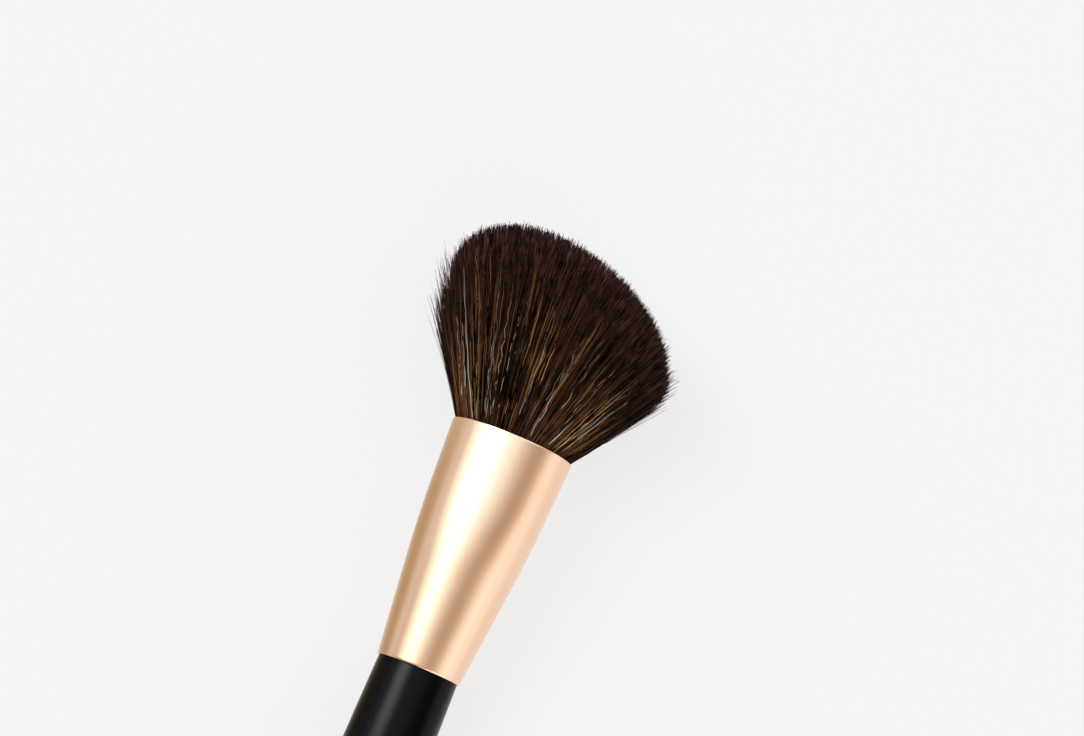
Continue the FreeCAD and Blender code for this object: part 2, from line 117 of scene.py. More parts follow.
# %% A material and its nodes
class Finish:
    """The nodes of a material, a floor or the surroundings."""

    def __init__(self, owner):
        owner.use_nodes = True
        self.owner = owner
        self.tree = owner.node_tree
        self.tree.nodes.clear()

    def node(self, kind, settings=None, sockets=None, out=0):
        """Adds a node. Its settings come first, then its sockets' values or wires."""
        made = self.tree.nodes.new("ShaderNode" + kind)
        for name, value in (settings or {}).items():
            if name == "stops":
                self.set_stops(made.color_ramp, value)
            else:
                setattr(made, name, value)
        for name, value in (sockets or {}).items():
            if isinstance(value, Wire):
                self.tree.links.new(value.socket, made.inputs[name])
            else:
                made.inputs[name].default_value = value
        return Wire(self, made.outputs[out])

    @staticmethod
    def set_stops(ramp, stops):
        """Gives a colour ramp its places and colours."""
        while len(ramp.elements) < len(stops):
            ramp.elements.new(1.0)
        for element, (place, colour) in zip(ramp.elements, stops):
            element.position = place
            element.color = colour

    def blend(self, share, colour, other):
        """A colour between two colours."""
        return self.node("Mix", {"data_type": "RGBA"}, {0: share, 6: colour, 7: other}, out=2)

    def ramp(self, value, *stops):
        """A colour that follows a value through stops."""
        return self.node("ValToRGB", {"stops": stops}, {"Fac": value})

    def spots(self, size, detail=2.0, stretch=(1, 1, 1)):
        """Soft noise about as large as size in metres, stretched along each axis."""
        place = self.node("TexCoord", out="Object")
        scale = [1 / (size * s) for s in stretch]
        place = self.node("Mapping", {}, {"Vector": place, "Scale": scale})
        return self.node("TexNoise", {}, {"Vector": place, "Scale": 1.0, "Detail": detail}, out="Fac")

    def split(self, vector, axes):
        """Some parts of a vector, as one wire for each letter in axes."""
        return [self.node("SeparateXYZ", {}, {"Vector": vector}, out=axis) for axis in axes]

    def bump(self, height, strength, distance):
        """A bent normal for low relief, its distance in metres."""
        return self.node("Bump", {}, {"Height": height, "Strength": strength, "Distance": distance})

    def surface(self, shader):
        """Joins the shader to the output, and gives back the material or the world."""
        kind = "World" if isinstance(self.owner, bpy.types.World) else "Material"
        output = self.tree.nodes.new("ShaderNodeOutput" + kind)
        self.tree.links.new(shader.socket, output.inputs["Surface"])
        print(self.owner.name, "has", len(self.tree.nodes), "nodes")
        return self.owner


SCREEN_GAMMA = 2.2


def grey(value):
    """A grey in linear numbers, which may be brighter than white for a lamp."""
    return (value, value, value, 1.0)


def srgb(red, green, blue):
    """A colour as it is seen on a screen, 0 to 255, as the linear numbers that a shader takes."""
    return tuple(math.pow(c / 255, SCREEN_GAMMA) for c in (red, green, blue)) + (1.0,)


# %% [markdown]
# ## The lacquer on the handle
# The wood is sprayed with several coats of black lacquer and left with a soft shine. Lacquer flows before
# it dries, so up close the surface has a very low, wide ripple. The shine is a dark base under a
# weak, slightly blurred reflection, and the ripple goes through a Bump node.

# %% Black lacquer
def black_lacquer():
    """Black with a weak, slightly uneven shine and a very low ripple."""
    f = Finish(bpy.data.materials.new("black_lacquer"))
    flow = f.spots(0.004, detail=1.0)
    haze = f.spots(0.0007)
    shader = f.node("BsdfPrincipled", {}, {
        "Base Color": f.blend(flow, srgb(5, 5, 5), srgb(8, 8, 8)),
        "Roughness": 0.2 + 0.05 * haze,
        "Specular IOR Level": 0.1,
        "Normal": f.bump(flow, 0.05, 0.0002),
    })
    return f.surface(shader)


LACQUER = black_lacquer()

# %% [markdown]
# ## The champagne metal of the ferrule
# The ferrule is spun from thin aluminium and anodised in a pale rose gold. Anodised metal is satin: its
# reflections are blurred, a touch more along the lines that the spinning left. The grain is noise
# stretched round the tube and squeezed along it, kept far below what the eye takes for scratches.

# %% Champagne metal
def champagne_metal():
    """Satin metal whose grain runs round the tube."""
    f = Finish(bpy.data.materials.new("champagne_metal"))
    grain = f.spots(0.0002, detail=3.0, stretch=(0.35, 8, 8))
    cloud = f.spots(0.006, detail=2.0)
    shader = f.node("BsdfPrincipled", {}, {
        "Base Color": f.blend(cloud, srgb(249, 208, 178), srgb(252, 212, 182)),
        "Metallic": 1.0,
        "Roughness": 0.235 + 0.03 * grain + 0.02 * cloud,
        "Normal": f.bump(grain, 0.04, 0.00005),
    })
    return f.surface(shader)


METAL = champagne_metal()

# %% [markdown]
# ## Turned pieces
# The handle comes off a lathe and the ferrule off a spinning lathe, so both are a profile turned about
# the brush's axis. In Blender that is a chain of vertices and the spin operator. The first and last
# points of the handle lie on the axis, so the turned copies meet there and are merged into one pole.
# Edges with a steep corner stay crisp in the shading and all others are smooth.

# %% Turning a profile
AROUND = 144
RIM_ANGLE = math.radians(60)
CREASE_ANGLE = math.radians(40)


def spun(points, axis, steps, merge=1e-5):
    """Turns a chain of points about an axis through the origin, with seam and poles closed."""
    bm = bmesh.new()
    chain = [bm.verts.new(point) for point in points]
    rail = [bm.edges.new(pair) for pair in zip(chain, chain[1:])]
    bmesh.ops.spin(bm, geom=chain + rail, cent=(0, 0, 0), axis=axis, angle=2 * math.pi,
                   steps=steps, use_merge=True)
    bmesh.ops.remove_doubles(bm, verts=bm.verts, dist=merge)
    bmesh.ops.recalc_face_normals(bm, faces=bm.faces)
    return bm


def turned_piece(name, outline, material, wall=0.0, lip=0.0):
    """Turns an outline of (along, radius) points about the axis, and gives a tube a wall and soft lips."""
    bm = spun([(x, radius, 0) for x, radius in outline], (1, 0, 0), AROUND)
    if wall:
        bmesh.ops.solidify(bm, geom=bm.faces[:], thickness=wall)
        rims = [e for e in bm.edges if e.calc_face_angle(0) > RIM_ANGLE]
        bmesh.ops.bevel(bm, geom=rims, offset=lip, offset_type="OFFSET", affect="EDGES",
                        segments=3, profile=0.5, material=-1)
    return finished(name, bm, material)


def finished(name, bm, material):
    """Lays a drawn piece down in the frame and makes it ride with the brush."""
    for edge in bm.edges:
        edge.smooth = edge.calc_face_angle(0) < CREASE_ANGLE
    for face in bm.faces:
        face.smooth = True
    bm.transform(LAID)
    mesh = bpy.data.meshes.new(name)
    bm.to_mesh(mesh)
    bm.free()
    return dressed(name, mesh, material)


def dressed(name, mesh, material):
    """Makes an object of a mesh that already lies in the frame."""
    mesh.materials.clear()
    mesh.materials.append(material)
    piece = bpy.data.objects.new(name, mesh)
    bpy.context.scene.collection.objects.link(piece)
    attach(piece, "root")
    mesh.calc_loop_triangles()
    print(name, "has", len(mesh.loop_triangles), "triangles")
    return piece


# %% [markdown]
# ## The handle
# The handle swells from the neck to its belly and then thins out to a round tip. The swelling is one long
# arc on each side of the belly. Behind it the line runs straight, and it ends in the tip's own small arc.
# Inside the ferrule a thinner tenon goes on. All its sizes are those of the workshop's drawing.

# %% The handle's outline
HANDLE_LENGTH = 111.0
NECK_RADIUS = 6.1
NECK_CHAMFER = 0.1
BELLY_RADIUS = 6.5
BELLY_SWEEP = 0.6
TIP_RADIUS = 3.7
SHOULDER_FIT = 0.02
TAIL_RADIUS = 6.35
WALL = 0.35
TENON_FIT = 0.05
TENON_RADIUS = TAIL_RADIUS - WALL - TENON_FIT
TENON_LENGTH = 13.0
TENON_CHAMFER = 0.6


def arc(centre, radius, start, end, steps):
    """Points on a circle between two angles, both ends included."""
    angles = [start + (end - start) * i / steps for i in range(steps + 1)]
    return [(centre[0] + radius * math.cos(a), centre[1] + radius * math.sin(a)) for a in angles]


UP = math.pi / 2
behind = HANDLE_LENGTH - TIP_RADIUS - BELLY_FROM_NECK
full_arc = (behind**2 + BELLY_RADIUS**2 - TIP_RADIUS**2) / (2 * (BELLY_RADIUS - TIP_RADIUS))
rear_radius = BELLY_SWEEP * full_arc
rear_drop = rear_radius - BELLY_RADIUS
between = math.hypot(behind, rear_drop)
slope = math.atan2(behind, rear_drop) - math.acos((rear_radius - TIP_RADIUS) / between)
front_run = BELLY_FROM_NECK - SHOULDER_FIT - NECK_CHAMFER
front_rise = BELLY_RADIUS - NECK_RADIUS
front_radius = (front_run**2 + front_rise**2) / (2 * front_rise)
front_turn = math.asin(front_run / front_radius)

handle_outline = (
    arc((TIP_RADIUS - HANDLE_LENGTH, 0), TIP_RADIUS, math.pi, UP + slope, 14)
    + arc((-BELLY_FROM_NECK, BELLY_RADIUS - rear_radius), rear_radius, UP + slope, UP, 10)
    + arc((-BELLY_FROM_NECK, BELLY_RADIUS - front_radius), front_radius, UP, UP - front_turn, 10)[1:]
    + [(-SHOULDER_FIT, NECK_RADIUS - NECK_CHAMFER), (-SHOULDER_FIT, TENON_RADIUS)]
    + [(TENON_LENGTH - TENON_CHAMFER, TENON_RADIUS), (TENON_LENGTH, TENON_RADIUS - TENON_CHAMFER)]
    + [(TENON_LENGTH, 0)]
)
handle = turned_piece("turned_handle", handle_outline, LACQUER)
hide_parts("handle")

# %% [markdown]
# ## The ferrule
# The ferrule is a thin tube that opens from the tail to the mouth, with a gentle knee on the way. Only
# its outer line is turned. Solidify then gives the wall, inwards, and a small bevel rounds both lips as
# tumbling in the workshop does. Those rounded lips catch the thin light line seen at each end. One more
# ring close to each lip keeps the roundness from spreading along the tube in the shading.

# %% The ferrule's outline
FERRULE_LENGTH = 36.0
MOUTH_RADIUS = 9.35
KNEE_FROM_MOUTH = 15.2
KNEE_SWELL = 0.52
KNEE_BLEND = 200.0
LIP = 0.1
NEAR_END = 0.3

knee_x = FERRULE_LENGTH - KNEE_FROM_MOUTH
knee_radius = TAIL_RADIUS + (MOUTH_RADIUS - TAIL_RADIUS) * knee_x / FERRULE_LENGTH + KNEE_SWELL
low_slope = math.atan2(knee_radius - TAIL_RADIUS, knee_x)
high_slope = math.atan2(MOUTH_RADIUS - knee_radius, KNEE_FROM_MOUTH)
setback = KNEE_BLEND * math.tan((low_slope - high_slope) / 2)
knee_start = (knee_x - setback * math.cos(low_slope), knee_radius - setback * math.sin(low_slope))
knee_centre = (knee_start[0] + KNEE_BLEND * math.sin(low_slope),
               knee_start[1] - KNEE_BLEND * math.cos(low_slope))

ferrule_outline = (
    [(0, TAIL_RADIUS), (NEAR_END, TAIL_RADIUS + NEAR_END * math.tan(low_slope))]
    + arc(knee_centre, KNEE_BLEND, UP + low_slope, UP + high_slope, 8)
    + [(FERRULE_LENGTH - NEAR_END, MOUTH_RADIUS - NEAR_END * math.tan(high_slope))]
    + [(FERRULE_LENGTH, MOUTH_RADIUS)]
)
ferrule = turned_piece("spun_ferrule", ferrule_outline, METAL, wall=WALL, lip=LIP)
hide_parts("ferrule")

# %% [markdown]
# ## What the ferrule hides
# Inside the ferrule the hair's root is tied with thread and cast into resin. Nobody sees them here, and
# their workshop shapes are right, so both nodes stay and only get a finish: amber resin with faint
# clouds, and undyed cotton whose twist shows as fine slanted ridges.

# %% Cast resin and cotton thread
def cast_resin():
    """Amber resin with faint clouds."""
    f = Finish(bpy.data.materials.new("cast_resin"))
    cloud = f.spots(0.003, detail=3.0)
    shader = f.node("BsdfPrincipled", {}, {
        "Base Color": f.blend(cloud, srgb(186, 150, 92), srgb(214, 184, 128)),
        "Roughness": 0.18 + 0.1 * cloud,
        "Normal": f.bump(cloud, 0.1, 0.0002),
    })
    return f.surface(shader)


def cotton_thread():
    """Undyed cotton with a fine twist."""
    f = Finish(bpy.data.materials.new("cotton_thread"))
    twist = f.spots(0.0003, detail=2.0, stretch=(1, 3, 3))
    shader = f.node("BsdfPrincipled", {}, {
        "Base Color": f.blend(twist, srgb(198, 190, 172), srgb(232, 226, 210)),
        "Roughness": 0.9,
        "Normal": f.bump(twist, 0.5, 0.0001),
    })
    return f.surface(shader)


for node, material in (("resin_plug", cast_resin()), ("binding_thread", cotton_thread())):
    mesh = frame["nodes"][node].data
    mesh.materials.clear()
    mesh.materials.append(material)
    print(node, "wears", material.name)

# %% [markdown]
# ## How the hair fans out
# Every hair starts on the round mouth of the ferrule and runs out in a straight line, wider the further
# it goes, and more so across the broad side than in depth. The tips lie on a slanted egg, which the
# maker gets by shaping the crown before the hair is tied. So one rule says where any hair is at any
# reach, and another how far it runs. Both work on whole arrays, one entry for each hair.

# %% The rule of the fan
HAIR_FIT = 0.08
FAN_REACH = 14.0
FAN_DEPTH_REACH = 33.0
FAN_LEAN = 0.5
BUNDLE = MOUTH_RADIUS - WALL - HAIR_FIT


def combed(across, deep, reach):
    """Where hairs are at a reach beyond the mouth, in the drawing's millimetres."""
    x = FERRULE_LENGTH + reach
    y = across * (1 + reach / FAN_REACH) - FAN_LEAN * reach / FAN_REACH
    z = deep * (1 + reach / FAN_DEPTH_REACH)
    return np.stack(np.broadcast_arrays(x, y, z), axis=-1)


# %% The slanted crown
CROWN_CENTRE = np.array((FERRULE_LENGTH + 18.65, 0.4, 0.0))
CROWN_HALVES = np.array((18.8, 11.9, 13.9))
CROWN_SLANT = math.radians(17.7)


def crown_reach(across, deep):
    """How far beyond the mouth hairs meet the crown, or come nearest to it."""
    cos, sin = math.cos(CROWN_SLANT), math.sin(CROWN_SLANT)
    in_crown = np.array(((sin, cos, 0), (cos, -sin, 0), (0, 0, 1))) / CROWN_HALVES[:, None]
    start = combed(across, deep, 0.0)
    a = (start - CROWN_CENTRE) @ in_crown.T
    b = (combed(across, deep, 1.0) - start) @ in_crown.T
    square = (b * b).sum(-1)
    middle = (a * b).sum(-1)
    spare = middle**2 - square * ((a * a).sum(-1) - 1)
    return (np.sqrt(np.maximum(spare, 0)) - middle) / square


TRIM = 0.66
TRIM_HALF = 0.85
TRIM_TO_LOW_SIDE = 0.12


def cut_reach(across, deep):
    """The crown's reach less what the maker's last trim takes off, most of it on the top."""
    off_centre = (across / BUNDLE + TRIM_TO_LOW_SIDE) / TRIM_HALF
    return crown_reach(across, deep) - TRIM * np.maximum(1 - off_centre**2, 0)


print("Hair beyond the mouth, in mm:", cut_reach(np.array((-8.5, 0, 8.5)), np.zeros(3)).round(1))

# %% [markdown]
# ## The colour of hair
# No two hairs match, and a hair changes along its length: a brown one gets redder towards its tip.
# Each hair therefore carries its own map. One direction of the map is a shade drawn for that
# hair, the other is the place along it, from 0 at the ferrule to 1 at the tip. The finish only reads
# those two numbers and a soft patchiness, which is partly random tone and partly painted glints along
# the hairs, so thousands of hairs share one small material. The light colours of brown hair are also
# partly a painted sheen, as the shader's own sheen is kept very low.

# %% Hair finishes
HAIR_MAP = "OFBake"


def hair_finish(name, dark, light, rough, sheen_level, patch_and_glint_share):
    """Hair that runs through stops along its length, between a dark and a light set of colours. Its
    patchiness is partly random tone and partly painted glints.
    """
    f = Finish(bpy.data.materials.new(name))
    shade, along = f.split(f.node("UVMap", {"uv_map": HAIR_MAP}), "XY")
    # The patchiness is partly random tone and partly painted glints along the hairs.
    patches_and_glints = f.spots(0.0022, detail=1.0) - 0.5
    shader = f.node("BsdfPrincipled", {}, {
        "Base Color": f.blend(shade + patch_and_glint_share * patches_and_glints, f.ramp(along, *dark), f.ramp(along, *light)),
        "Roughness": rough,
        "Specular IOR Level": sheen_level,
    })
    return f.surface(shader)


# Brown hair's light colours are partly its own tone and partly a painted sheen, as its shader's sheen is
# kept very low.
BROWN_HAIR = hair_finish(
    "brown_hair",
    dark=((0.0, srgb(8, 5, 4)), (0.6, srgb(9, 6, 5)), (0.85, srgb(10, 6, 5)), (1.0, srgb(17, 10, 9))),
    light=((0.0, srgb(116, 80, 54)), (0.6, srgb(102, 71, 56)), (0.85, srgb(80, 57, 52)),
           (1.0, srgb(112, 76, 70))),
    rough=0.45, sheen_level=0.02, patch_and_glint_share=0.3,
)
GOLDEN_HAIR = hair_finish(
    "golden_hair",
    dark=((0.0, srgb(30, 18, 9)), (0.4, srgb(40, 24, 12)), (1.0, srgb(22, 14, 11))),
    light=((0.0, srgb(166, 114, 58)), (0.4, srgb(222, 158, 82)), (0.7, srgb(160, 108, 60)),
           (1.0, srgb(84, 54, 40))),
    rough=0.4, sheen_level=0.08, patch_and_glint_share=0.3,
)
# Grey hairs are partly real pale hairs and partly painted glints of sheen. Strong patchiness breaks them
# into stretches.
GREY_AND_GLINT_HAIR = hair_finish(
    "grey_and_glint_hair",
    dark=((0.0, srgb(54, 48, 38)), (0.5, srgb(48, 43, 35)), (1.0, srgb(32, 26, 22))),
    light=((0.0, srgb(214, 212, 210)), (0.5, srgb(190, 188, 188)), (1.0, srgb(110, 100, 92))),
    rough=0.35, sheen_level=0.25, patch_and_glint_share=1.0,
)
CREAM_HAIR = hair_finish(
    "cream_hair",
    dark=((0.0, srgb(46, 38, 26)), (0.5, srgb(40, 33, 23)), (1.0, srgb(26, 20, 16))),
    light=((0.0, srgb(206, 188, 150)), (0.5, srgb(180, 165, 132)), (1.0, srgb(96, 84, 68))),
    rough=0.35, sheen_level=0.15, patch_and_glint_share=0.6,
)

# %% [markdown]
# ## Growing hairs
# A hair is a thin tapered tube. Blender makes one from a curve: each point has a radius, and the bevel
# puts a small ring round it. Thousands of splines in one curve become one mesh, which is quick and keeps
# each hair closed at both ends. Where the brush rests, the table presses the lowest hairs flat, so no
# point goes below it.

# %% From routes to tubes
FLOOR_ROOM = 0.1
MAP_EDGE = 0.02


def laid_down(points):
    """Carries drawn points into the frame, and lifts those that the table presses up."""
    matrix = np.array(LAID)
    placed = points @ matrix[:3, :3].T + matrix[:3, 3]
    low = FLOOR_ROOM * MM
    return np.concatenate((placed[..., :2], np.maximum(placed[..., 2:], low)), axis=-1)


def grown(name, routes, thickness, taper, shade, along, material):
    """Grows one tube for each route. shade is one number a hair, along one number a point."""
    count, points = routes.shape[:2]
    curve = bpy.data.curves.new(name, "CURVE")
    curve.dimensions = "3D"
    curve.bevel_depth = MM
    curve.bevel_resolution = 0
    places = np.concatenate((laid_down(routes), np.ones((count, points, 1))), axis=-1).astype(np.float32)
    widths = (np.asarray(thickness).reshape(-1, 1) / 2 * taper).astype(np.float32)
    for hair in range(count):
        spline = curve.splines.new("POLY")
        spline.points.add(points - 1)
        spline.points.foreach_set("co", places[hair].ravel())
        spline.points.foreach_set("radius", widths[hair])
        spline.use_smooth = True
    grower = bpy.data.objects.new(name, curve)
    bpy.context.scene.collection.objects.link(grower)
    graph = bpy.context.evaluated_depsgraph_get()
    mesh = bpy.data.meshes.new_from_object(grower.evaluated_get(graph))
    mesh.name = name
    bpy.data.objects.remove(grower)
    bpy.data.curves.remove(curve)
    close_ends(mesh)
    write_hair_map(mesh, count, points, shade, along)
    dressed(name, mesh, material)


def close_ends(mesh):
    """Closes the four-sided hole at each end of each tube."""
    bm = bmesh.new()
    bm.from_mesh(mesh)
    bmesh.ops.holes_fill(bm, edges=[e for e in bm.edges if e.is_boundary], sides=4)
    bm.to_mesh(mesh)
    bm.free()


def write_hair_map(mesh, count, points, shade, along):
    """Gives every corner its hair's shade and its place along the hair."""
    ring = len(mesh.vertices) // (count * points)
    if ring * count * points != len(mesh.vertices):
        raise RuntimeError("the tubes don't have one ring a point")
    corner_vertex = np.empty(len(mesh.loops), dtype=np.int64)
    mesh.loops.foreach_get("vertex_index", corner_vertex)
    hair = corner_vertex // (ring * points)
    point = corner_vertex // ring % points
    for layer in mesh.uv_layers[:]:
        mesh.uv_layers.remove(layer)
    layer = mesh.uv_layers.new(name=HAIR_MAP)
    uv = np.stack((shade[hair], np.broadcast_to(along, (count, points))[hair, point]), axis=-1)
    inset = MAP_EDGE + (1 - 2 * MAP_EDGE) * uv
    layer.uv.foreach_set("vector", inset.astype(np.float32).ravel())


# %% [markdown]
# ## Making a route look like hair
# Straight lines look like a broom. Real hair gathers in small locks, each hair has a slow bend of its
# own, and coarse hairs are wavy. Here the locks pull their hairs together towards the tip, and the
# bend and the wave push each point sideways. All of it is drawn from one seeded source, so every run
# gives the same brush.

# %% Routes
LOCKS = 900
TUCK = 1.0
ROOT_FADE = 3.0
draw = np.random.default_rng(11)
lock_ring = np.sqrt(draw.uniform(0, 1, LOCKS))
lock_angle = draw.uniform(0, 2 * math.pi, LOCKS)
lock_across = BUNDLE * lock_ring * np.cos(lock_angle)
lock_deep = BUNDLE * lock_ring * np.sin(lock_angle)


def hair_routes(across, deep, start, end, points, gather=0.06, stray=0.22, bend=0.1, wave=0.0,
                wave_length=4.0, lift=0.0):
    """Routes from a start to an end reach. gather is a share, the others are in millimetres."""
    count = len(across)
    share = np.linspace(0, 1, points)[None, :]
    reach = start[:, None] + (end - start)[:, None] * share
    grown_out = np.clip(reach / np.maximum(crown_reach(across, deep), 1)[:, None], 0, 1)
    away = (across[:, None] - lock_across) ** 2 + (deep[:, None] - lock_deep) ** 2
    nearest = away.argmin(axis=1)
    pull = gather * grown_out**2
    outwards = 1 + lift / BUNDLE * (1 - np.exp(-np.maximum(reach, 0) / ROOT_FADE))
    y = (across[:, None] + (lock_across[nearest] - across)[:, None] * pull) * outwards
    z = (deep[:, None] + (lock_deep[nearest] - deep)[:, None] * pull) * outwards
    routes = combed(y, z, reach)
    routes[..., 1] -= TUCK * np.clip(across / BUNDLE, 0, 1)[:, None] ** 2 * grown_out
    for axis in (1, 2):
        routes[..., axis] += stray * grown_out * draw.normal(0, 1, (count, 1))
        phase = draw.uniform(0, 2 * math.pi, (count, 1))
        slow = np.sin(phase + reach / draw.uniform(4, 8, (count, 1))) - np.sin(phase)
        routes[..., axis] += bend * grown_out * slow * draw.normal(1, 0.4, (count, 1))
        phase = draw.uniform(0, 2 * math.pi, (count, 1))
        turns = 2 * math.pi * reach / (wave_length * draw.uniform(0.7, 1.4, (count, 1)))
        height = wave * draw.uniform(0.3, 1.6, (count, 1))
        routes[..., axis] += height * np.sin(turns + phase) * np.clip(reach / ROOT_FADE, 0, 1)
    return routes


print("Hairs gather in", LOCKS, "locks")

# %% [markdown]
# ## The bulk of the hair
# Low down only the outer hairs can be seen, so the inside of the tuft is one dark form that they lie
# on. It is turned as a straight bundle and then combed out by the fan's own rule, so it always stays
# a little inside the hairs and a little short of their tips.

# %% The inside of the tuft
UNDER_RING = 0.9
UNDER_TIP = 3.4
ROOT_REACH = -6.0
UNDER_AROUND = 72


def inside_of_tuft():
    """One closed form, drawn as a bundle of length and radius 1 and then combed out."""
    side = [(t / 14, UNDER_RING, 0) for t in range(15)]
    top = [(1, UNDER_RING * (1 - r / 12), 0) for r in range(1, 13)]
    bm = spun([(0, 0, 0)] + side + top, (1, 0, 0), UNDER_AROUND)
    upright = np.array([v.co for v in bm.verts])
    across, deep = upright[:, 1] * BUNDLE, upright[:, 2] * BUNDLE
    reach = ROOT_REACH + (crown_reach(across, deep) - UNDER_TIP - ROOT_REACH) * upright[:, 0]
    for vertex, place in zip(bm.verts, combed(across, deep, reach)):
        vertex.co = place
    return finished("hair_inside", bm, inner_hair())


def inner_hair():
    """Nearly black, with streaks along the hair."""
    f = Finish(bpy.data.materials.new("inner_hair"))
    streak = f.spots(0.0004, detail=3.0, stretch=(12, 1, 1))
    shader = f.node("BsdfPrincipled", {}, {
        "Base Color": f.blend(streak, srgb(10, 7, 6), srgb(26, 17, 14)),
        "Roughness": 0.8,
        "Specular IOR Level": 0.1,
        "Normal": f.bump(streak, 0.6, 0.0002),
    })
    return f.surface(shader)


inside = inside_of_tuft()
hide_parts("hair_tuft")

# %% [markdown]
# ## The outer hairs
# Some four and a half thousand full-length hairs cover the sides. They are grown in two pieces, the
# front and the back of the broad sides, to keep each piece light. Their tips end a little short of the
# crown or a little past it, which gives the fine ragged edge. Most hairs get a dark shade, and the few
# light ones are also a little thicker.

# %% Places on the mouth
SPREAD_REACH = 14.0


def around_mouth(count, low_ring):
    """Places on the outer part of the mouth, evenly spread as the fan is seen from outside."""
    wide = 1 + SPREAD_REACH / FAN_REACH
    deep = 1 + SPREAD_REACH / FAN_DEPTH_REACH
    angles = draw.uniform(0, 2 * math.pi, count * 3)
    spread = np.hypot(np.sin(angles) * wide, np.cos(angles) * deep)
    angles = angles[draw.uniform(0, wide, count * 3) < spread][:count]
    ring = BUNDLE * (1 - (1 - low_ring) * draw.uniform(0, 1, len(angles)) ** 1.3)
    return ring * np.cos(angles), ring * np.sin(angles)


# %% Grow the outer hairs
OUTER_HAIRS = 4600
OUTER_RING = 0.87
OUTER_START = -3.0
OUTER_POINTS = 6
HAIR_WIDTH = 0.14
LIGHT_THICKER = 0.5
TIP_SHORT = -0.05
outer_taper = np.array((1.0, 1.0, 1.0, 0.95, 0.75, 0.3))

across, deep = around_mouth(OUTER_HAIRS, OUTER_RING)
tip = cut_reach(across, deep) + draw.normal(TIP_SHORT, 0.35, len(across))
start = np.full(len(across), OUTER_START)
routes = hair_routes(across * 0.98, deep * 0.98, start, tip, OUTER_POINTS, gather=0.03)
shade = draw.uniform(0, 1, len(across)) ** 4
width = HAIR_WIDTH * (draw.uniform(0.6, 1.1, len(across)) + LIGHT_THICKER * shade)
along = np.linspace(0, 1, OUTER_POINTS)
for name, side in (("front_hair", deep >= 0), ("back_hair", deep < 0)):
    grown(name, routes[side], width[side], outer_taper, shade[side], along, BROWN_HAIR)

# %% [markdown]
# ## The crown
# Seen from above, the tuft is a dense field of tips. Only the last few millimetres of the inner hairs
# can be seen, so each is short, with three points. The places are drawn evenly over the mouth.

# %% Grow the crown
CROWN_HAIRS = 18000
CROWN_DEPTH = 6.5
CROWN_RING = 0.95
crown_taper = np.array((1.0, 0.85, 0.3))
crown_along = np.array((0.62, 0.85, 1.0))

ring = BUNDLE * np.sqrt(draw.uniform(0, 1, CROWN_HAIRS)) * CROWN_RING
angle = draw.uniform(0, 2 * math.pi, CROWN_HAIRS)
across, deep = ring * np.cos(angle), ring * np.sin(angle)
tip = cut_reach(across, deep) + draw.normal(TIP_SHORT, 0.3, CROWN_HAIRS)
routes = hair_routes(across, deep, tip - CROWN_DEPTH, tip, len(crown_taper))
shade = draw.uniform(0, 1, CROWN_HAIRS) ** 3.5
width = HAIR_WIDTH * (draw.uniform(0.6, 1.2, CROWN_HAIRS) + LIGHT_THICKER * shade)
for name, side in (("crown_front_hair", deep >= 0), ("crown_back_hair", deep < 0)):
    grown(name, routes[side], width[side], crown_taper, shade[side], crown_along, BROWN_HAIR)

# %% [markdown]
# ## Hairs that lie on the surface
# Where the sides meet the crown a real brush has no edge: its outermost hairs bend in and lie over the
# crown, each as far as it happens to reach. These hairs run up the side like the others, and where
# they would stand off from the crown they are held to its surface. Each sinks in again near its end.

# %% Drape hairs over the crown
INSIDE_MOUTH = -2.0
LOW_SIDE_SHORTER = 0.13
SINK = 0.06
SINK_FROM = 0.8


def crown_depth(points):
    """How far from the middle plane the crown's surface lies at each point."""
    cos, sin = math.cos(CROWN_SLANT), math.sin(CROWN_SLANT)
    away = points - CROWN_CENTRE
    sideways = (sin * away[..., 0] + cos * away[..., 1]) / CROWN_HALVES[0]
    upwards = np.maximum((cos * away[..., 0] - sin * away[..., 1]) / CROWN_HALVES[1], 0)
    return CROWN_HALVES[2] * np.sqrt(np.maximum(1 - sideways**2 - upwards**2, 0))


def surface_places(count, lean, low, high):
    """Places on the rim of the bundle, on both broad sides. lean gathers them to one side."""
    sideways = low + (high - low) * draw.uniform(0, 1, count) ** lean
    angles = np.arccos(sideways) * np.where(draw.uniform(0, 1, count) < 0.5, 1.0, -1.0)
    rim = BUNDLE * draw.uniform(0.94, 0.997, count)
    return rim * np.cos(angles), rim * np.sin(angles)


